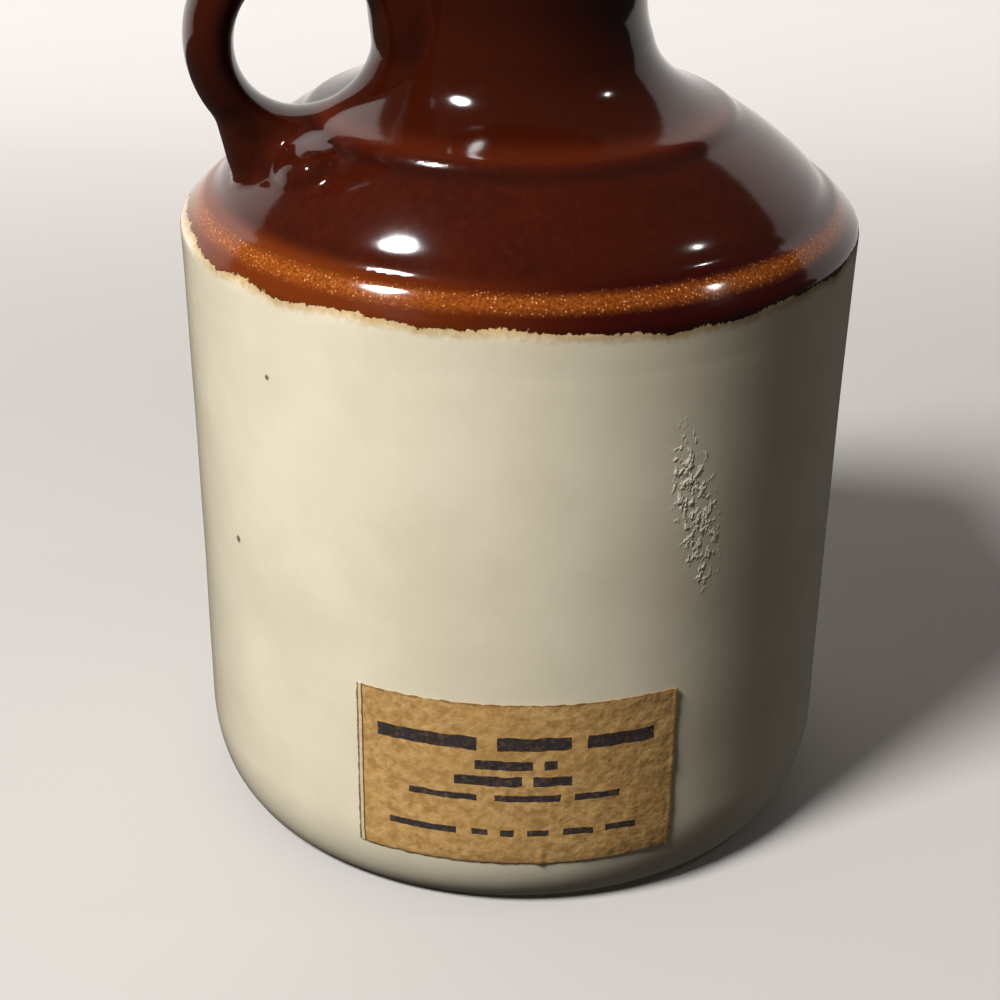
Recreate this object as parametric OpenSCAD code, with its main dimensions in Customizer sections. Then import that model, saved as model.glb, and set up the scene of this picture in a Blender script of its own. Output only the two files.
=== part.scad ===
// Maple syrup jug: a one-pint shouldered stoneware jug with a stepped shoulder,
// a narrow neck with a rolled lip and a one-finger loop handle, all one fired
// piece, and a paper label pasted on the front of the belly.
// Units are millimetres. The origin is the middle of the base, +Z is up, the
// label faces -Y and the handle stands on the -X side, turned a little to the front.

/* [Body] */
// outer diameter at the shoulder rim, the widest ring of the jug
body_d = 92; // [84:1:106]
// height of the shoulder rim above the table
rim_h = 85; // [72:1:110]
// thickness of the clay wall
wall = 4.5; // [3.5:0.1:5.5]
// thickness of the clay base
base_t = 5; // [4:0.5:8]
// how far the flat base is set in from the shoulder rim
base_inset = 5.6; // [3:0.2:9]
// height of the rounded bottom corner
corner_h = 11.6; // [6:0.2:16]
// how far the wall is set in from the shoulder rim
wall_inset = 0.65; // [0.4:0.05:1.2]

/* [Shoulder] */
// rise of the shoulder from the rim to the foot of the neck
shoulder_h = 29; // [24:0.5:36]
// width of the sloping rim face outside the groove
rim_face_w = 5.2; // [4:0.1:6.5]
// height of the small ring where the neck flare ends
ring_h = 0.45; // [0.2:0.05:0.8]

/* [Neck] */
// outer diameter of the straight neck
neck_d = 32.4; // [28:0.2:36]
// diameter of the bore through the neck
bore_d = 21; // [16:0.5:23]
// overall height of the jug
jug_h = 134; // [130:1:165]
// outer diameter of the rolled lip
lip_d = 38; // [36:0.5:44]
// height of the rolled lip
lip_h = 8; // [5:0.5:10]

/* [Handle] */
// diameter of the finger hole
hole_d = 18.5; // [15:0.5:20]
// thickness of the loop, hole to outside
loop_t = 6.3; // [5:0.1:7.5]
// width of the loop, side to side
loop_w = 12; // [9:0.5:14]
// distance of the finger hole's middle from the jug's axis
loop_reach = 29; // [27:0.2:30]
// height of the finger hole's middle above the shoulder rim
loop_rise = 25.2; // [24:0.2:28]
// how far the loop is turned toward the front, degrees
loop_turn = 17; // [0:1:45]
// length of the loop's foot along the shoulder
foot_l = 15.6; // [13:0.2:16.4]

/* [Label] */
// width of the label around the belly
label_w = 44; // [30:0.5:60]
// height of the label
label_h = 25.4; // [18:0.2:50]
// height of the label's bottom edge above the table
label_z = 8.3; // [6:0.1:16]
// thickness of the paper
paper_t = 0.3; // [0.2:0.05:0.6]
// how far the label is turned round from the front, degrees
label_turn = 1; // [-10:0.5:10]
// how far the label's right side hangs down, degrees
label_tilt = 0.5; // [-2:0.1:2]

/* [Hidden] */
$fn = 96;
steps = 10;
body_r = body_d / 2;
wall_r = body_r - wall_inset;
base_r = body_r - base_inset;
neck_r = neck_d / 2;
bore_r = bore_d / 2;
lip_r = lip_d / 2;
groove_r = body_r - rim_face_w;
// the ring sits a little under half way from the neck to the rim
ring_r = neck_r + 0.41 * (body_r - neck_r);
neck_z = rim_h + shoulder_h;
groove_z = rim_h + 0.16 * shoulder_h;
ring_z = rim_h + 0.505 * shoulder_h;
loop_z = rim_h + loop_rise;
hole_r = hole_d / 2;
label_a = label_w / wall_r * 180 / PI;
arm_slim = 0.5;
clay = "saddlebrown";
paper = "burlywood";

// point at share t of the curve from a to c drawn toward b
function curve_at(a, b, c, t) = (1 - t) * (1 - t) * a + 2 * t * (1 - t) * b + t * t * c;
// points of that curve, leaving out its first one
function curve(a, b, c) = [for (i = [1:steps]) curve_at(a, b, c, i / steps)];

// bottom corner, from the flat base up to the straight wall
corner_line = [for (i = [0:steps]) let (a = 90 * i / steps)
    [base_r + (wall_r - base_r) * sin(a), corner_h * (1 - cos(a))]];

// everything above the wall, from the rim up over the shoulder to the neck
rim_line = curve([body_r, rim_h - 0.7], [body_r, rim_h + 0.6], [body_r - 2.2, rim_h + 2]);
dome_line = curve([groove_r, groove_z], [body_r - 7.2, rim_h + 0.272 * shoulder_h],
    [ring_r + 1.7, ring_z - ring_h - 0.45]);
flare_line = curve([ring_r, ring_z], [neck_r + 1.8, rim_h + 0.64 * shoulder_h],
    [neck_r, neck_z]);
lip_line = concat(
    [[neck_r, jug_h - lip_h]],
    curve([neck_r, jug_h - lip_h], [neck_r + 0.2, jug_h - 0.7 * lip_h],
        [lip_r - 0.8, jug_h - 0.62 * lip_h]),
    curve([lip_r - 0.8, jug_h - 0.62 * lip_h], [lip_r + 0.7, jug_h - 0.35 * lip_h],
        [lip_r - 1, jug_h - 1]),
    curve([lip_r - 1, jug_h - 1], [lip_r - 2, jug_h], [lip_r - 4, jug_h]));

outer_line = concat([[0, 0]], corner_line,
    [[wall_r, 0.72 * rim_h], [body_r - 0.25, rim_h - 3.5], [body_r, rim_h - 0.7]], rim_line,
    [[groove_r + 0.3, groove_z - 0.25]], [[groove_r, groove_z]], dome_line,
    [[ring_r + 1, ring_z - ring_h - 0.3]], [[ring_r, ring_z]], flare_line, lip_line,
    [[0, jug_h]]);

// the hollow inside, kept a wall's thickness in from the outside
in_r = wall_r - wall;
in_dome_z = groove_z - 0.3;
in_base_line = curve([in_r - 7, base_t], [in_r, base_t], [in_r, base_t + 8]);
in_top_line = curve([in_r, rim_h - 7], [in_r, in_dome_z - 2], [groove_r - 5.9, in_dome_z + 1]);
in_flare_line = curve([ring_r - 4, ring_z - 3.2], [bore_r + 1.2, ring_z + 2.5],
    [bore_r, neck_z - 1]);
inner_line = concat([[0, base_t], [in_r - 7, base_t]], in_base_line, [[in_r, rim_h - 7]],
    in_top_line, [[ring_r - 4, ring_z - 3.2]], in_flare_line,
    [[bore_r, jug_h - 2], [bore_r + 1.5, jug_h + 1], [0, jug_h + 1]]);

// rounded bar section, w wide and t thick
module bar_section(t, w) {
    square([t, w - t], center = true);
    translate([0, (w - t) / 2]) circle(d = t);
    translate([0, (t - w) / 2]) circle(d = t);
}

// the ring round the finger hole
module loop_ring() {
    translate([loop_reach, 0, loop_z])
        rotate([90, 0, 0])
        rotate_extrude()
        translate([hole_r + loop_t / 2, 0])
        bar_section(loop_t, loop_w);
}

// the level arm from the neck to the top of the ring, a little slimmer than the ring
module loop_arm() {
    translate([bore_r + 1, 0, loop_z + hole_r + loop_t / 2])
        rotate([90, 0, 90])
        linear_extrude(loop_reach - bore_r - 1)
        rotate([0, 0, 90])
        bar_section(loop_t - arm_slim, loop_w - arm_slim);
}

// the foot that carries the ring on the shoulder
module loop_foot() {
    foot_out = loop_reach + hole_r + loop_t - 4.2;
    foot_z = loop_z - hole_r - 1.6;
    translate([foot_out - foot_l / 2, 0, rim_h])
        linear_extrude(foot_z - rim_h)
        rotate([0, 0, 90])
        bar_section(loop_w, foot_l);
}

// fired clay: body, neck, lip and handle in one
module jug() {
    color(clay)
    difference() {
        union() {
            rotate_extrude() polygon(outer_line);
            rotate([0, 0, 180 + loop_turn]) {
                loop_ring();
                loop_arm();
                loop_foot();
            }
        }
        rotate_extrude() polygon(inner_line);
    }
}

// the wall's own line, out by the given distance, as far up as the label needs
function label_line(out) = concat(
    [for (p = corner_line) if (p[1] > 1) [p[0] + out, p[1]]],
    [[wall_r + out, corner_h + label_h + label_z]]);

// paper pasted to the belly
module label() {
    inside = label_line(0);
    outside = label_line(paper_t);
    color(paper)
    intersection() {
        rotate([0, 0, 270 + label_turn - label_a / 2])
            rotate_extrude(angle = label_a)
            polygon(concat(inside, [for (i = [len(outside) - 1:-1:0]) outside[i]]));
        translate([0, 0, label_z + label_h / 2])
            rotate([0, label_tilt, 0])
            cube([3 * body_d, 3 * body_d, label_h], center = true);
    }
}

jug();
label();
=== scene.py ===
# Maple syrup jug: one piece of fired stoneware, jiggered in a mould, with the loop handle
# stuck on while the clay was soft. The belly is dipped in cream glaze and the top in brown,
# and a kraft paper label is pasted low on the front.
import math

import bpy
from mathutils import Matrix, Vector, noise
from mathutils.bvhtree import BVHTree


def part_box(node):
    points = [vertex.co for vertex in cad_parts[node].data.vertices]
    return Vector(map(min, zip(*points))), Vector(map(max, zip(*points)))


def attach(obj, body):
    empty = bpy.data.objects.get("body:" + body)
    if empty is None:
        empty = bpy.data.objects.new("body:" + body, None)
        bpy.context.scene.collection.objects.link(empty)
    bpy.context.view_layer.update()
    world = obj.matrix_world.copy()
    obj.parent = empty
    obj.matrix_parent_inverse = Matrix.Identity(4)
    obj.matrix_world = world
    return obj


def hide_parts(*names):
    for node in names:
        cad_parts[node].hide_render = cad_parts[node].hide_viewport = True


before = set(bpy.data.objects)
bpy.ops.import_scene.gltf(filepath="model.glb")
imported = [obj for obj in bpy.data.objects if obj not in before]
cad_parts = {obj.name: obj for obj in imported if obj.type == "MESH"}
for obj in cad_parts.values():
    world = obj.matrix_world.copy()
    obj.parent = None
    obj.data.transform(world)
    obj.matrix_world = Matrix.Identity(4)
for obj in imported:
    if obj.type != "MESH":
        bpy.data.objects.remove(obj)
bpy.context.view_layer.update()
bpy.ops.object.select_all(action="DESELECT")
MM = 0.001

# ---------------------------------------------------------------- the turned clay
# The upper part of the pot, from just under the shoulder rim to the lip: a rolled rim,
# a soft groove, a crowned shoulder, a small ring and a flare into the narrow neck. It was
# jiggered with the belly, and is shaped apart here only until the handle is on it.
JUG_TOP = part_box("jug")[1][2] / MM
NECK_R = 16.2
BORE_R = 10.5
CUT_Z = 79.0


def bow(a, b, c, steps):
    """Points of the curve from a to c that is drawn toward b, without a itself."""
    points = []
    for i in range(1, steps + 1):
        t = i / steps
        points.append(tuple((1 - t) ** 2 * p + 2 * t * (1 - t) * q + t * t * s
                            for p, q, s in zip(a, b, c)))
    return points


def turn(name, line, segments):
    """A shape of revolution: a ring drawn up through the (radius, height) points of line."""
    bpy.ops.object.select_all(action="DESELECT")
    bpy.ops.mesh.primitive_circle_add(vertices=segments, radius=line[0][0] * MM,
                                      location=(0, 0, line[0][1] * MM))
    pot = bpy.context.object
    pot.name = name
    bpy.ops.object.transform_apply(location=True, rotation=True, scale=True)
    bpy.ops.object.mode_set(mode="EDIT")
    bpy.ops.mesh.select_mode(type="VERT")
    bpy.ops.mesh.select_all(action="SELECT")
    for (r0, z0), (r1, z1) in zip(line, line[1:]):
        bpy.ops.mesh.extrude_region_move(
            TRANSFORM_OT_translate={"value": (0, 0, (z1 - z0) * MM)})
        bpy.ops.transform.resize(value=(r1 / r0, r1 / r0, 1),
                                 center_override=(0, 0, z1 * MM))
    bpy.ops.object.mode_set(mode="OBJECT")
    return pot


def cap(pot, radius, height):
    """Closes the open ring of pot at that radius and height with one face."""
    bpy.ops.object.mode_set(mode="EDIT")
    bpy.ops.mesh.select_mode(type="VERT")
    bpy.ops.mesh.select_all(action="DESELECT")
    bpy.ops.object.mode_set(mode="OBJECT")
    for v in pot.data.vertices:
        off = math.hypot(v.co.x, v.co.y) - radius * MM
        v.select = abs(off) < 1e-5 and abs(v.co.z - height * MM) < 1e-5
    bpy.ops.object.mode_set(mode="EDIT")
    bpy.ops.mesh.edge_face_add()
    bpy.ops.object.mode_set(mode="OBJECT")


WALL_TOP = 45.85
foot_line = [(45.8, CUT_Z - 4), (45.82, CUT_Z - 2), (WALL_TOP, CUT_Z)]
rim_line = (bow((WALL_TOP, CUT_Z), (45.93, 82), (46.0, 84.3), 8)
            + bow((46.0, 84.3), (46.0, 85.2), (45.15, 86.0), 12)
            + bow((45.15, 86.0), (44.05, 87.25), (43.3, 88.0), 8)
            + bow((43.3, 88.0), (42.6, 88.7), (41.9, 88.95), 8)
            + bow((41.9, 88.95), (41.0, 89.3), (40.3, 90.4), 10))
dome_line = (bow((40.3, 90.4), (39.6, 91.3), (38.5, 92.3), 12)
             + bow((38.5, 92.3), (36.4, 94.2), (33.6, 96.2), 18)
             + bow((33.6, 96.2), (31.3, 97.75), (29.7, 98.6), 12))
ring_line = (bow((29.7, 98.6), (29.1, 99.0), (28.7, 99.5), 8)
             + bow((28.7, 99.5), (28.2, 100.0), (26.9, 100.4), 8))
flare_line = (bow((26.9, 100.4), (18.4, 103.4), (17.2, 109.2), 40)
              + bow((17.2, 109.2), (16.3, 111.4), (NECK_R, 114.5), 10))
lip_line = (bow((NECK_R, 114.5), (NECK_R, 120), (NECK_R, 125.6), 6)
            + bow((NECK_R, 125.6), (NECK_R + 0.1, 128), (18.1, 128.7), 6)
            + bow((18.1, 128.7), (19.8, 130.4), (18.0, 132.8), 8)
            + bow((18.0, 132.8), (17.0, JUG_TOP), (15.0, JUG_TOP), 6)
            + bow((15.0, JUG_TOP), (11.4, JUG_TOP), (10.9, 131), 8)
            + bow((10.9, 131), (BORE_R, 128), (BORE_R, 118), 6))
shoulder = turn("shoulder", foot_line + rim_line + dome_line + ring_line + flare_line
                + lip_line, 576)
cap(shoulder, 45.8, CUT_Z - 4)
cap(shoulder, BORE_R, 118)
bpy.ops.object.mode_set(mode="EDIT")
bpy.ops.mesh.select_all(action="SELECT")
bpy.ops.mesh.normals_make_consistent(inside=False)
bpy.ops.object.mode_set(mode="OBJECT")

# ---------------------------------------------------------------- the handle
# A ring of clay for one finger, flat like a strap, stuck to the neck and the shoulder and
# thumbed down at both ends, so that the foot droops over the shoulder and the ends melt
# into the pot under the glaze.
TURN = math.radians(180 + 17)
OUT = Vector((math.cos(TURN), math.sin(TURN), 0))
SIDE = Vector((-math.sin(TURN), math.cos(TURN), 0))
HOLE_X, HOLE_Z = 29.0, 110.2
STRAP_T, STRAP_W = 6.3, 12.0
RING_R = 12.4
HANDLE_AXES = Matrix(((OUT.x, SIDE.x, 0), (OUT.y, SIDE.y, 0), (0, 0, 1))).to_4x4()


def lump(x, y, z, radii, lean=0.0):
    """A rounded lump of clay at x out, y round and z up, tipped outwards by lean."""
    bpy.ops.object.select_all(action="DESELECT")
    bpy.ops.mesh.primitive_uv_sphere_add(segments=48, ring_count=32, radius=MM)
    piece = bpy.context.object
    bpy.ops.object.mode_set(mode="EDIT")
    bpy.ops.mesh.select_all(action="SELECT")
    bpy.ops.transform.resize(value=radii, center_override=(0, 0, 0))
    bpy.ops.object.mode_set(mode="OBJECT")
    piece.matrix_world = (HANDLE_AXES @ Matrix.Translation(Vector((x, y, z)) * MM)
                          @ Matrix.Rotation(math.radians(lean), 4, "Y"))
    bpy.ops.object.transform_apply(location=True, rotation=True, scale=True)
    return piece


bpy.ops.object.select_all(action="DESELECT")
bpy.ops.mesh.primitive_torus_add(major_segments=96, minor_segments=40,
                                 major_radius=RING_R * MM, minor_radius=STRAP_T / 2 * MM)
loop = bpy.context.object
bpy.ops.object.mode_set(mode="EDIT")
bpy.ops.mesh.select_all(action="SELECT")
bpy.ops.transform.resize(value=(1, 1, STRAP_W / STRAP_T), center_override=(0, 0, 0))
bpy.ops.object.mode_set(mode="OBJECT")
loop.matrix_world = (HANDLE_AXES @ Matrix.Translation(Vector((HOLE_X, 0, HOLE_Z)) * MM)
                     @ Matrix.Rotation(math.radians(90), 4, "X"))
bpy.ops.object.transform_apply(location=True, rotation=True, scale=True)
clay_ends = [
    lump(35.4, 0, 96.6, (4.5, 6.0, 6.0), -10),
    lump(38.2, 0, 99.5, (2.5, 5.7, 5.6), 6),
    lump(31.0, 0, 96.2, (7.5, 8.0, 3.4)),
    lump(31.6, 7.4, 96.6, (3.9, 8.2, 2.2), 30),
    lump(16.2, 0, 111.0, (4.2, 7.6, 10.5), 8),
    lump(19.5, 0, 121.0, (10.5, 5.6, 3.0), 0),
]

# the soft clay is pressed together, smoothed over, and trued again where nothing was stuck on
bpy.ops.object.select_all(action="DESELECT")
jug = shoulder.copy()
jug.data = shoulder.data.copy()
jug.name = "jug_body"
bpy.context.collection.objects.link(jug)
for piece in [jug, loop] + clay_ends:
    piece.select_set(True)
bpy.context.view_layer.objects.active = jug
bpy.ops.object.join()
jug.data.remesh_voxel_size = 0.6 * MM
jug.data.remesh_voxel_adaptivity = 0
bpy.ops.object.voxel_remesh()


def near_handle(co):
    """1 on the handle, falling to 0 on clay well clear of it, and the same for its joints."""
    place = co / MM
    x, y, z = place.dot(OUT), place.dot(SIDE), place.z
    foot = Vector(((x - 32) / 9.0, (y - 3) / 12.0, (z - 97) / 6)).length
    root = Vector(((x - 17.5) / 7, y / 10.5, (z - 112) / 13)).length
    ring = Vector(((math.hypot(x - HOLE_X, z - HOLE_Z) - RING_R) / 5, y / 8)).length
    ring += max(0, 22 - x) / 3
    joint = max(0.0, min(1.0, (1.4 - min(foot, root)) / 0.4))
    return max(joint, max(0.0, min(1.0, (1.4 - ring) / 0.4))), joint


def knead(group, rounds):
    """Smooths the jug over, where its vertices are in the group of that name."""
    smooth = jug.modifiers.new("knead", "SMOOTH")
    smooth.vertex_group = group
    smooth.factor = 0.5
    smooth.iterations = rounds
    bpy.ops.object.modifier_apply(modifier=smooth.name)


for name in ("soft", "melt", "turned", "even"):
    jug.vertex_groups.new(name=name)
groups = jug.vertex_groups
for v in jug.data.vertices:
    share, joint = near_handle(v.co)
    groups["soft"].add([v.index], share, "REPLACE")
    groups["melt"].add([v.index], joint, "REPLACE")
groups["even"].add(range(len(jug.data.vertices)), 1, "REPLACE")
knead("soft", 8)
knead("melt", 30)
true_form = BVHTree.FromObject(shoulder, bpy.context.evaluated_depsgraph_get())
for v in jug.data.vertices:
    foot_point, outward, _, _ = true_form.find_nearest(v.co)
    proud = (v.co - foot_point).dot(outward) / MM
    added = max(0.0, min(1.0, (proud - 0.08) / 0.5)) if near_handle(v.co)[0] > 0 else 0.0
    groups["turned"].add([v.index], 1 - added * added * (3 - 2 * added), "REPLACE")
true_up = jug.modifiers.new("true", "SHRINKWRAP")
true_up.target = shoulder
true_up.wrap_method = "NEAREST_SURFACEPOINT"
true_up.vertex_group = "turned"
bpy.ops.object.modifier_apply(modifier=true_up.name)
knead("melt", 2)
knead("even", 2)
bpy.data.objects.remove(shoulder)

# ---------------------------------------------------------------- the belly and the hollow
# The belly is a straight wall on a rounded bottom corner and a flat base. It is joined to
# the top at a hidden line on the wall, and the hollow inside is open through the neck.
SEAM_Z = 122.0
bpy.ops.object.mode_set(mode="EDIT")
bpy.ops.mesh.select_all(action="SELECT")
bpy.ops.mesh.bisect(plane_co=(0, 0, CUT_Z * MM), plane_no=(0, 0, 1), clear_inner=True)
bpy.ops.mesh.select_all(action="SELECT")
bpy.ops.mesh.bisect(plane_co=(0, 0, SEAM_Z * MM), plane_no=(0, 0, 1))
bpy.ops.object.mode_set(mode="OBJECT")
# the blind end of the bore comes out
for f in jug.data.polygons:
    c = f.center / MM
    f.select = math.hypot(c.x, c.y) < BORE_R + 0.8 and 110 < c.z < SEAM_Z
bpy.ops.object.mode_set(mode="EDIT")
bpy.ops.mesh.select_mode(type="FACE")
bpy.ops.mesh.delete(type="FACE")
bpy.ops.object.mode_set(mode="OBJECT")

BASE_R, CORNER_Z, WALL_R = 40.4, 11.6, 45.35
corner_line = [(BASE_R + (WALL_R - BASE_R) * math.sin(a), CORNER_Z * (1 - math.cos(a)))
               for a in [math.radians(5 * i) for i in range(19)]]
wall_line = bow((WALL_R, CORNER_Z), (45.3, 44), (WALL_TOP, CUT_Z - 0.5), 44)
belly = turn("belly", [(0.4, 0.0)] + [(r, 0.0) for r in (6, 12, 18, 24, 30, 35, 38)]
             + corner_line + wall_line, 192)
cap(belly, 0.4, 0)
hollow = turn("hollow", [(BORE_R, SEAM_Z - 0.5)]
              + bow((BORE_R, SEAM_Z - 0.5), (BORE_R, 116), (BORE_R, 113), 6)
              + bow((BORE_R, 113), (11.6, 101.9), (24.4, 96.4), 12)
              + bow((24.4, 96.4), (30.5, 93.4), (35.2, 90.3), 6)
              + bow((35.2, 90.3), (40.8, 87.3), (40.8, 78), 10)
              + bow((40.8, 78), (40.8, 45), (40.8, 13), 12)
              + bow((40.8, 13), (40.8, 5), (33.8, 5), 10)
              + [(r, 5.0) for r in (28, 21, 14, 7, 0.4)], 192)
cap(hollow, 0.4, 5)
bpy.ops.object.select_all(action="DESELECT")
for piece in (jug, belly, hollow):
    piece.select_set(True)
bpy.context.view_layer.objects.active = jug
bpy.ops.object.join()


def bridge(low, high, reach):
    """Joins the two open rings of the jug between those heights, inside that radius."""
    bpy.ops.object.mode_set(mode="EDIT")
    bpy.ops.mesh.select_mode(type="EDGE")
    bpy.ops.mesh.select_all(action="DESELECT")
    bpy.ops.mesh.select_non_manifold(extend=False, use_wire=False, use_multi_face=False,
                                     use_non_contiguous=False, use_verts=False)
    bpy.ops.object.mode_set(mode="OBJECT")
    for e in jug.data.edges:
        ends = [jug.data.vertices[i].co / MM for i in e.vertices]
        e.select = e.select and all(low < c.z < high and math.hypot(c.x, c.y) < reach
                                    for c in ends)
    bpy.ops.object.mode_set(mode="EDIT")
    bpy.ops.mesh.bridge_edge_loops()
    bpy.ops.object.mode_set(mode="OBJECT")


bridge(CUT_Z - 1, CUT_Z + 0.5, 60)
bridge(SEAM_Z - 1, SEAM_Z + 0.5, 13)
bpy.ops.object.mode_set(mode="EDIT")
bpy.ops.mesh.select_all(action="SELECT")
bpy.ops.mesh.remove_doubles(threshold=0.00001)
bpy.ops.mesh.normals_make_consistent(inside=False)
bpy.ops.object.mode_set(mode="OBJECT")
# no pot is quite true: the wall wanders in by up to a tenth of a millimetre or so
for v in jug.data.vertices:
    far = math.hypot(v.co.x, v.co.y) / MM
    if far > 41.5 and v.co.z > 2 * MM:
        place = Vector((v.co.x * 28, v.co.y * 28, v.co.z * 70))
        drift = 0.10 * (noise.noise(place) + 0.6) / 1.6
        v.co.xy *= (far - max(drift, 0)) / far
bpy.ops.object.shade_smooth()
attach(jug, "root")
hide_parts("jug")

# ---------------------------------------------------------------- the glazes
# Two stoneware glazes, both fired glossy. The belly is dipped in a warm cream one. Everything
# above the rim, the handle and the bore are dipped in a dark iron brown, which runs to a
# ragged edge on the wall and breaks to rust with bright specks where it thins on the rim.


def srgb(code):
    """The linear colour of an sRGB hex value."""
    parts = [int(code[i:i + 2], 16) / 255 for i in (1, 3, 5)]
    return [c / 12.92 if c <= 0.04045 else ((c + 0.055) / 1.055) ** 2.4 for c in parts] + [1]


def put(kind, *values, out=0, **settings):
    """Adds a node to tree with its settings, fills its inputs in order, returns its output.

    A value is a number, a vector, an sRGB hex colour, a socket to link, or None to leave."""
    made = tree.nodes.new("ShaderNode" + kind)
    for key, value in settings.items():
        setattr(made, key, value)
    for socket, value in zip([s for s in made.inputs if s.enabled], values):
        if isinstance(value, bpy.types.NodeSocket):
            tree.links.new(value, socket)
        elif value is not None:
            socket.default_value = srgb(value) if isinstance(value, str) else value
    return [s for s in made.outputs if s.enabled][out]


glaze = bpy.data.materials.new("stoneware_glazed_cream_and_iron_brown")
glaze.use_nodes = True
tree = glaze.node_tree
shader = tree.nodes["Principled BSDF"]
SMOOTH = {"interpolation_type": "SMOOTHSTEP"}
COLOUR = {"data_type": "RGBA"}
spot = put("VectorMath", put("TexCoord", out=3), 1 / MM, operation="SCALE")
across = put("SeparateXYZ", spot, out=0)
height = put("SeparateXYZ", spot, out=2)
radius = put("VectorMath", put("VectorMath", spot, (1, 1, 0), operation="MULTIPLY"),
             operation="LENGTH")

# the brown ends about 85 mm up, a little lower on the right, in slow runs and fine teeth
runs = put("TexNoise", put("VectorMath", spot, (1, 1, 0.3), operation="MULTIPLY"), 0.075, 1.5)
teeth = put("TexNoise", spot, 1.25, 3.0, 0.6)
EDGE_Z, EDGE_SLOPE = 85.0, -0.021
edge = put("Math", across, EDGE_SLOPE, EDGE_Z, operation="MULTIPLY_ADD")
edge = put("Math", put("MapRange", runs, 0.3, 0.7, -0.95, 0.95), edge, operation="ADD")
edge = put("Math", put("MapRange", teeth, 0.25, 0.75, -0.32, 0.32), edge, operation="ADD")
above = put("Math", height, edge, operation="SUBTRACT")
brown = put("MapRange", above, -0.05, 0.1, 0, 1, **SMOOTH)

# iron brown: nearly black, darker up the neck, with painted shade darkening it towards the
# right, and redder where it thins
cloud = put("TexNoise", spot, 0.07, 4.0, 0.55)
streak = put("VectorMath", spot, (1, 1, 0.3), operation="MULTIPLY")
streak = put("TexNoise", streak, 0.9, 3.0, 0.6)
deep = put("Mix", put("MapRange", cloud, 0.35, 0.65, 0, 1, **SMOOTH), "#300d05", "#380f05",
           **COLOUR)
deep = put("Mix", put("MapRange", streak, 0.4, 0.75, 0, 0.5, **SMOOTH), deep, "#411406",
           **COLOUR)
# darker towards the right, away from the key lamp: painted shade
deep = put("Mix", put("MapRange", across, -6.0, 14.0, 0, 0.3, **SMOOTH), deep, "#1e0602",
           **COLOUR)
# darker up the flare and the neck
deep = put("Mix", put("MapRange", height, 99.5, 103.0, 0, 0.7, **SMOOTH), deep, "#270902",
           **COLOUR)
# the small ring at the top of the shoulder is a shade warmer, with a line of painted shade
# under it
ring = put("Math", put("MapRange", radius, 24.0, 27.0, 0, 1, **SMOOTH),
           put("MapRange", radius, 27.6, 28.8, 1, 0, **SMOOTH), operation="MULTIPLY")
ring = put("Math", ring, put("MapRange", height, 98.6, 99.2, 0, 0.6, **SMOOTH),
           operation="MULTIPLY")
deep = put("Mix", ring, deep, "#4a1a08", **COLOUR)
# a dark line at the foot of the ring: painted shade under the ring
painted_shade_under_ring = put("Math", put("MapRange", radius, 28.7, 29.5, 0, 1, **SMOOTH),
            put("MapRange", radius, 29.8, 31.5, 0.7, 0, **SMOOTH), operation="MULTIPLY")
deep = put("Mix", painted_shade_under_ring, deep, "#230a05", **COLOUR)
# on the rolled rim it thins to a red rust, painted darker and redder rightwards as painted
# shade, and where the roll turns over it breaks to gold with fine specks, the gold fading
# rightwards in painted shade
outer = put("Math", put("MapRange", radius, 39.8, 42.0, 0, 1, **SMOOTH),
            put("MapRange", height, 89.0, 91.0, 1, 0, **SMOOTH), operation="MULTIPLY")
# a ramp towards the right, away from the key lamp, that carries painted shade on the rim
painted_shade_rightward = put("MapRange", across, -30.0, 16.0, 0, 1, **SMOOTH)
rim_rust_painted_dark_rightward = put("Mix", painted_shade_rightward, "#5e2507", "#260302", **COLOUR)
deep = put("Mix", outer, deep, rim_rust_painted_dark_rightward, **COLOUR)
rim = put("Math", put("MapRange", height, 86.3, 87.6, 0, 1, **SMOOTH),
          put("MapRange", height, 88.0, 88.9, 1, 0, **SMOOTH), operation="MULTIPLY")
rim = put("Math", rim, put("MapRange", radius, 38.5, 40.5, 0, 1, **SMOOTH),
          operation="MULTIPLY")
grit = put("TexNoise", spot, 2.6, 2.0, 0.6)
rust = put("Mix", put("MapRange", grit, 0.35, 0.65, 0, 1, **SMOOTH), "#6a2f0c", "#8e4a15",
           **COLOUR)
# the rim's gold break, faded towards the right by painted shade
gold_break_and_shade = put("Math", rim, put("MapRange", painted_shade_rightward, 0, 1, 0.92, 0.7), operation="MULTIPLY")
deep = put("Mix", gold_break_and_shade, deep, rust, **COLOUR)
speck = put("MapRange", put("TexVoronoi", spot, 2.3), 0.12, 0.42, 1, 0, **SMOOTH)
speck_share = put("SeparateColor", put("TexVoronoi", spot, 2.3, out=1))
speck = put("Math", speck, put("MapRange", speck_share, 0.4, 1.0, 0, 0.9),
            operation="MULTIPLY")
speck_zone = put("Math", put("MapRange", height, 86.2, 87.6, 0, 1, **SMOOTH),
                 put("MapRange", height, 88.2, 89.0, 1, 0, **SMOOTH), operation="MULTIPLY")
speck_zone = put("Math", speck_zone, outer, operation="MULTIPLY")
deep = put("Mix", put("Math", speck_zone, speck, operation="MULTIPLY"), deep, "#d8945a",
           **COLOUR)

# cream: a warm off-white with faint clouds, stained by the iron just under the brown
mottle = put("TexNoise", spot, 0.06, 5.0, 0.6)
cream = put("Mix", put("MapRange", mottle, 0.3, 0.7, 0, 1, **SMOOTH), "#d8ccb1", "#e1d6bc",
            **COLOUR)
dust = put("TexNoise", spot, 1.3, 2.0, 0.6)
cream = put("Mix", put("MapRange", dust, 0.7, 0.8, 0, 0.2, **SMOOTH), cream, "#a8946f",
            **COLOUR)
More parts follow.
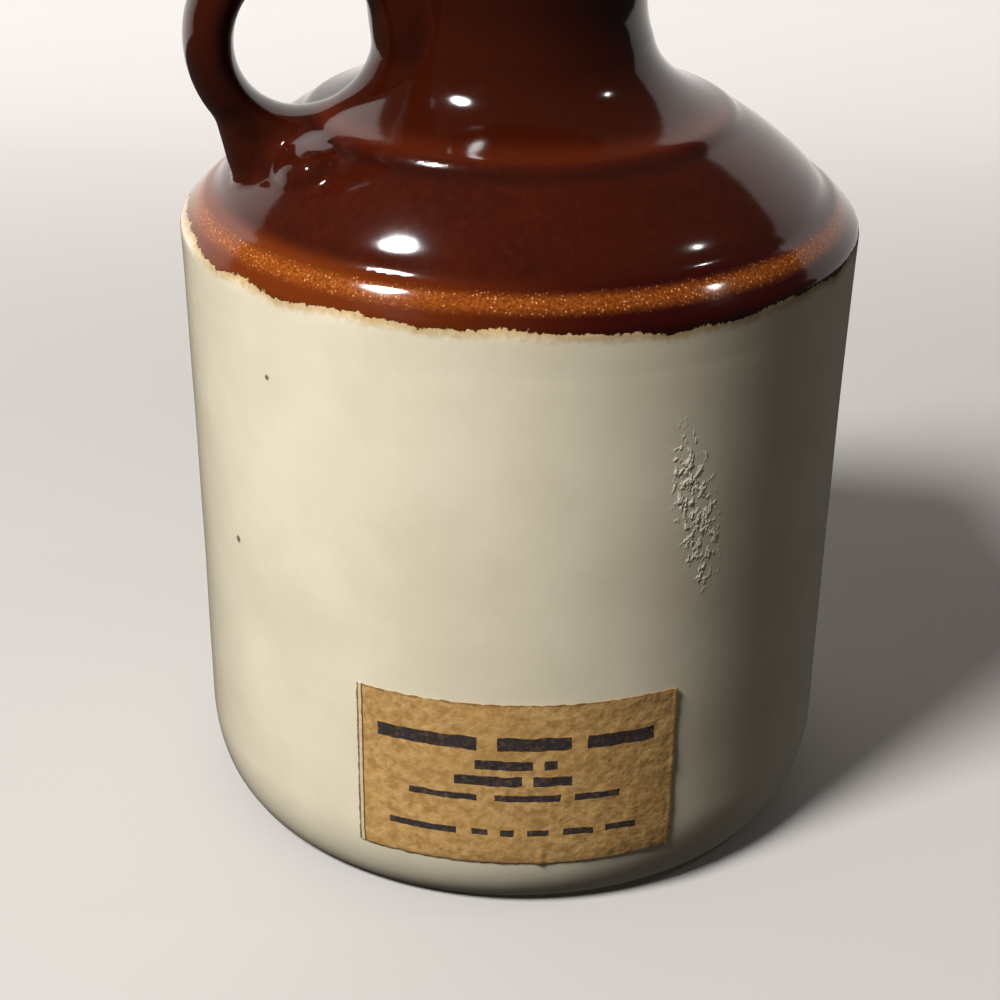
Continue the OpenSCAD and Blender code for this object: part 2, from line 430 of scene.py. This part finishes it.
# on the right of the front the cream has crawled into a patch of small pale crusts
CRUST_AT, CRUST_LEAN = (22.6, -39.2, 59.5), math.radians(12)
crust_zone = put("VectorMath", spot, CRUST_AT, operation="SUBTRACT")
crust_zone = put("VectorRotate", crust_zone, None, (0, 1, 0), CRUST_LEAN)
crust_zone = put("VectorMath", crust_zone, (0.28, 0.2, 0.066), operation="MULTIPLY")
crust_zone = put("MapRange", put("VectorMath", crust_zone, operation="LENGTH"),
                 0.2, 1.0, 1, 0, **SMOOTH)
crust = put("TexNoise", put("VectorMath", spot, (1, 1, 0.7), operation="MULTIPLY"), 1.0, 2.5)
crust = put("Math", put("Math", crust_zone, 0.09, operation="MULTIPLY"), crust,
            operation="ADD")
crust = put("MapRange", crust, 0.52, 0.8, 0, 0.21, **SMOOTH)
crust = put("Math", crust, put("MapRange", crust_zone, 0.0, 0.25), operation="MULTIPLY")
cream = put("Mix", put("MapRange", crust, 0, 0.15, 0, 0.7), cream, "#f0e8d6", **COLOUR)
halo = put("MapRange", above, -1.6, 0.0, 0, 0.8, **SMOOTH)
cream = put("Mix", halo, cream, "#a07c42", **COLOUR)
# two open pits on the left, where gas came through the glaze: their places and sizes
PITS = [(Vector((-31.0, -33.4, 73.6)), 0.45), (Vector((-36.7, -26.6, 47.1)), 0.6)]
for pit, size in PITS:
    # each pit is a near-black spot: painted shade inside the open hole
    pit_painted_shade = put("MapRange", put("VectorMath", spot, pit, operation="DISTANCE", out=0),
               size * 0.5, size * 1.2, 0.85, 0, **SMOOTH)
    cream = put("Mix", pit_painted_shade, cream, "#3a3428", **COLOUR)
tree.links.new(put("Mix", brown, cream, deep, **COLOUR), shader.inputs["Base Color"])
CREAM_ROUGH, BROWN_ROUGH, GLAZE_IOR = 0.13, 0.1, 1.52
tree.links.new(put("MapRange", brown, 0, 1, CREAM_ROUGH, BROWN_ROUGH),
               shader.inputs["Roughness"])
shader.inputs["IOR"].default_value = GLAZE_IOR

# the brown stands a little proud, and both glazes have a faint orange peel
PEEL_H, BROWN_H = 0.016, 0.14
peel = put("TexNoise", spot, 0.22, 2.0)
relief = put("Math", peel, PEEL_H, crust, operation="MULTIPLY_ADD")
relief = put("Math", brown, BROWN_H, relief, operation="MULTIPLY_ADD")
tree.links.new(put("Bump", 1.0, MM, None, relief), shader.inputs["Normal"])
jug.data.materials.clear()
jug.data.materials.append(glaze)

# ---------------------------------------------------------------- the label
# A small label of tan kraft paper, an inch tall, pasted round the front of the belly. It is
# cut a little ragged, lifts at its right edge, is creased at the bottom, and is printed in
# dark blue ink, with plain bars where the words would be.
LABEL_W, LABEL_H, LABEL_Z = 44.0, 25.4, 8.35
LABEL_TURN, LABEL_TILT = math.radians(1.0), math.radians(0.5)


def wall_radius(z):
    """The belly's radius at that height."""
    if z < CORNER_Z:
        return BASE_R + (WALL_R - BASE_R) * math.sqrt(1 - (1 - z / CORNER_Z) ** 2)
    t = (z - CORNER_Z) / (CUT_Z - 0.5 - CORNER_Z)
    return (1 - t) ** 2 * WALL_R + 2 * t * (1 - t) * 45.3 + t * t * WALL_TOP


bpy.ops.object.select_all(action="DESELECT")
bpy.ops.mesh.primitive_grid_add(x_subdivisions=220, y_subdivisions=127, size=2)
label = bpy.context.object
label.name = "paper_label"
for v in label.data.vertices:
    u, h = v.co.x, v.co.y
    ragged_u = 0.16 * noise.noise((0, h * 11, 3)) + 0.08 * noise.noise((0, h * 40, 7))
    ragged_h = 0.14 * noise.noise((u * 17, 0, 5)) + 0.06 * noise.noise((u * 60, 0, 9))
    x = u * (LABEL_W / 2 - 0.3) + ragged_u * abs(u) ** 8
    z = LABEL_Z + LABEL_H / 2 + h * (LABEL_H / 2 - 0.2) + ragged_h * abs(h) ** 8
    z -= x * math.tan(LABEL_TILT)
    crease = math.exp(-((x - 3.4 - 0.5 * (h + 1)) / 0.45) ** 2) * max(0, -h - 0.55) / 0.45
    curl = max(0, u - 0.972) / 0.028
    curl *= 0.6 + 0.4 * math.sin(h * 9)
    cockle = 0.05 * (noise.noise((x * 0.35, z * 0.5, 1)) + 0.5)
    r = wall_radius(z) + 0.02 + max(cockle, 0) + 0.16 * crease + 0.12 * curl
    turn_by = x / WALL_R + LABEL_TURN - math.pi / 2
    v.co = Vector((r * math.cos(turn_by), r * math.sin(turn_by), z)) * MM
sheet = label.modifiers.new("sheet", "SOLIDIFY")
sheet.thickness = 0.12 * MM
sheet.offset = 1
bpy.ops.object.modifier_apply(modifier=sheet.name)
bpy.ops.object.shade_smooth_by_angle(angle=math.radians(50))
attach(label, "root")
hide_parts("label")

kraft = bpy.data.materials.new("kraft_paper_printed_dark_blue")
kraft.use_nodes = True
tree = kraft.node_tree
shader = tree.nodes["Principled BSDF"]
spot = put("VectorMath", put("TexCoord", out=3), 1 / MM, operation="SCALE")
front = put("Math", put("SeparateXYZ", spot, out=1), -1.0, operation="MULTIPLY")
angle = put("Math", put("SeparateXYZ", spot, out=0), front, operation="ARCTAN2")
along = put("Math", angle, WALL_R, -WALL_R * LABEL_TURN, operation="MULTIPLY_ADD")
up = put("Math", put("SeparateXYZ", spot, out=2), LABEL_Z, operation="SUBTRACT")
up = put("Math", along, math.tan(LABEL_TILT), up, operation="MULTIPLY_ADD")
pulp = put("TexNoise", spot, 0.8, 4.0, 0.6)
blot = put("TexNoise", spot, 0.14, 3.0)
tan_paper = put("Mix", put("MapRange", pulp, 0.3, 0.7, 0, 1, **SMOOTH), "#a37a45", "#c9a168",
                **COLOUR)
tan_paper = put("Mix", put("MapRange", blot, 0.4, 0.7, 0, 0.45, **SMOOTH), tan_paper,
                "#bb9154", **COLOUR)
# the edges are worn dark, and the left one keeps a pale strip of torn backing
fray = put("Math", put("TexNoise", spot, 0.7, 3.0), 0.7, operation="MULTIPLY")
side = put("Math", put("Math", along, operation="ABSOLUTE"), fray, operation="ADD")
end = put("Math", up, LABEL_H / 2, operation="SUBTRACT")
end = put("Math", put("Math", end, operation="ABSOLUTE"), fray, operation="ADD")
worn = put("Math", put("MapRange", side, 21.5, 22.0, 0, 0.75, **SMOOTH),
           put("MapRange", end, 12.5, 12.9, 0, 0.65, **SMOOTH), operation="MAXIMUM")
tan_paper = put("Mix", worn, tan_paper, "#5c4327", **COLOUR)
strip = put("Math", along, -21.2, 0.22, operation="COMPARE")
tan_paper = put("Mix", strip, tan_paper, "#cdbc98", **COLOUR)
tear = put("Math", along, put("Math", fray, 0.4, -21.05, operation="MULTIPLY_ADD"),
           0.12, operation="COMPARE")
tan_paper = put("Mix", put("Math", tear, 0.8, operation="MULTIPLY"), tan_paper, "#4a3520",
                **COLOUR)

# print: words as (middle, half length) in rows of (height of the middle, half height)
rows = [
    (19.2, 1.0, [(-11.9, 6.8), (2.3, 4.8), (13.9, 4.6)]),
    (15.9, 0.7, [(-1.6, 3.8), (4.5, 0.8)]),
    (13.4, 0.75, [(-3.7, 4.4), (4.8, 2.6)]),
    (10.7, 0.5, [(-9.7, 4.6), (1.5, 4.4), (10.9, 3.1)]),
    (5.2, 0.5, [(-12.5, 4.6), (-4.8, 1.1), (-1.1, 0.9), (3.0, 1.4), (8.4, 2.1), (14.3, 2.2)]),
]
wobble = put("MapRange", put("TexNoise", spot, 0.5, 3.0), 0.2, 0.8, -0.18, 0.18)
ink_x = put("Math", along, wobble, operation="ADD")
ink_z = put("Math", up, wobble, operation="ADD")
ink = 0.0
for row_z, row_h, words in rows:
    in_row = put("Math", ink_z, row_z, row_h, operation="COMPARE")
    for word_x, word_l in words:
        word = put("Math", put("Math", ink_x, word_x, word_l, operation="COMPARE"), in_row,
                   operation="MULTIPLY")
        ink = put("Math", word, ink, operation="MAXIMUM")
thin = put("MapRange", put("TexNoise", spot, 1.4, 3.0, 0.7), 0.25, 0.5, 0.72, 0.95)
tan_paper = put("Mix", put("Math", ink, thin, operation="MULTIPLY"), tan_paper, "#23242c",
                **COLOUR)
tree.links.new(tan_paper, shader.inputs["Base Color"])
shader.inputs["Roughness"].default_value = 0.75
shader.inputs["IOR"].default_value = 1.45
felt = put("Math", pulp, 0.16, put("Math", blot, 0.25, operation="MULTIPLY"),
           operation="MULTIPLY_ADD")
tree.links.new(put("Bump", 0.9, MM, None, felt), shader.inputs["Normal"])
label.data.materials.clear()
label.data.materials.append(kraft)

# ---------------------------------------------------------------- the table and the light
# A plain pale table that curves up into a backdrop, both with a glow that grows towards the
# back: painted light. One soft lamp lights it from high at the front left, a second, further
# to the left, shows only as the shine in the glaze, a small weak one stands on the right, and
# little light comes from the room.
glowing_pale_paint = bpy.data.materials.new("matt_pale_paint_glowing_at_back")
glowing_pale_paint.use_nodes = True
tree = glowing_pale_paint.node_tree
shader = tree.nodes["Principled BSDF"]
shader.inputs["Base Color"].default_value = srgb("#b4afab")
shader.inputs["Roughness"].default_value = 0.9
# the paint glows more the further back it lies: painted light on the table and backdrop
depth = put("SeparateXYZ", put("TexCoord", out=3), out=1)
shader.inputs["Emission Color"].default_value = srgb("#e6e0dc")
tree.links.new(put("MapRange", depth, 0.1, 0.45, 0, 0.5, **SMOOTH),
               shader.inputs["Emission Strength"])
HALF_W, SWEEP_Y, SWEEP_R, SWEEP_STEPS, WALL_UP = 1.3, 0.30, 0.18, 16, 0.40
bpy.ops.object.select_all(action="DESELECT")
bpy.ops.mesh.primitive_plane_add(size=2 * HALF_W, location=(0, SWEEP_Y - HALF_W, 0))
table = bpy.context.object
table.name = "table"
bpy.ops.object.transform_apply(location=True, rotation=True, scale=True)
bpy.ops.object.duplicate()
backdrop = bpy.context.object
backdrop.name = "backdrop"
bpy.ops.object.mode_set(mode="EDIT")
bpy.ops.mesh.select_mode(type="VERT")
bpy.ops.mesh.select_all(action="DESELECT")
bpy.ops.object.mode_set(mode="OBJECT")
for v in backdrop.data.vertices:
    v.select = v.co.y < 0
bpy.ops.object.mode_set(mode="EDIT")
bpy.ops.mesh.delete(type="VERT")
bpy.ops.mesh.select_all(action="SELECT")
for i in range(SWEEP_STEPS):
    lean = math.radians(90) * (i + 0.5) / SWEEP_STEPS
    step_l = SWEEP_R * math.radians(90) / SWEEP_STEPS
    bpy.ops.mesh.extrude_region_move(TRANSFORM_OT_translate={
        "value": (0, step_l * math.cos(lean), step_l * math.sin(lean))})
bpy.ops.mesh.extrude_region_move(TRANSFORM_OT_translate={"value": (0, 0, WALL_UP)})
bpy.ops.object.mode_set(mode="OBJECT")
bpy.ops.object.shade_smooth()
for plain in (table, backdrop):
    plain.data.materials.append(glowing_pale_paint)
# the table throws no light or shine back at the jug, as a dark one would not
table.visible_diffuse = False
table.visible_glossy = False

# each lamp's name, shape, place and size in metres, and power in watts
lamps = [("key", "DISK", (-0.485, -0.465, 0.86), 0.27, 19.8),
         ("shine", "DISK", (-0.557, -0.171, 1.062), 0.21, 5.5),
         ("side", "SQUARE", (0.62, -0.02, 0.72), 0.035, 0.30)]
HEART = Vector((0, 0, 0.07))
for name, shape, place, size, power in lamps:
    lamp = bpy.data.lights.new(name, "AREA")
    lamp.shape = shape
    lamp.size = size
    lamp.energy = power
    stand = bpy.data.objects.new(name, lamp)
    stand.location = place
    aim = HEART - Vector(place)
    stand.rotation_euler = aim.to_track_quat("-Z", "Y").to_euler()
    bpy.context.scene.collection.objects.link(stand)
    stand.visible_glossy = name != "key"
    stand.visible_diffuse = name != "shine"
room = bpy.data.worlds.new("room")
bpy.context.scene.world = room
room.use_nodes = True
ROOM_LIGHT = (0.047, 0.044, 0.041, 1)
room.node_tree.nodes["Background"].inputs["Color"].default_value = ROOM_LIGHT
bpy.context.scene.view_settings.view_transform = "Standard"

# the camera is a little above the jug, close to it, and looks down at it
LENS, SENSOR = 72, 36
eye = bpy.data.cameras.new("eye")
eye.lens = LENS
eye.sensor_width = SENSOR
camera = bpy.data.objects.new("eye", eye)
camera.location = (0, -0.2621, 0.1730)
camera.rotation_euler = (math.radians(63.1), math.radians(-0.65), math.radians(0.8))
bpy.context.scene.collection.objects.link(camera)
bpy.context.scene.camera = camera
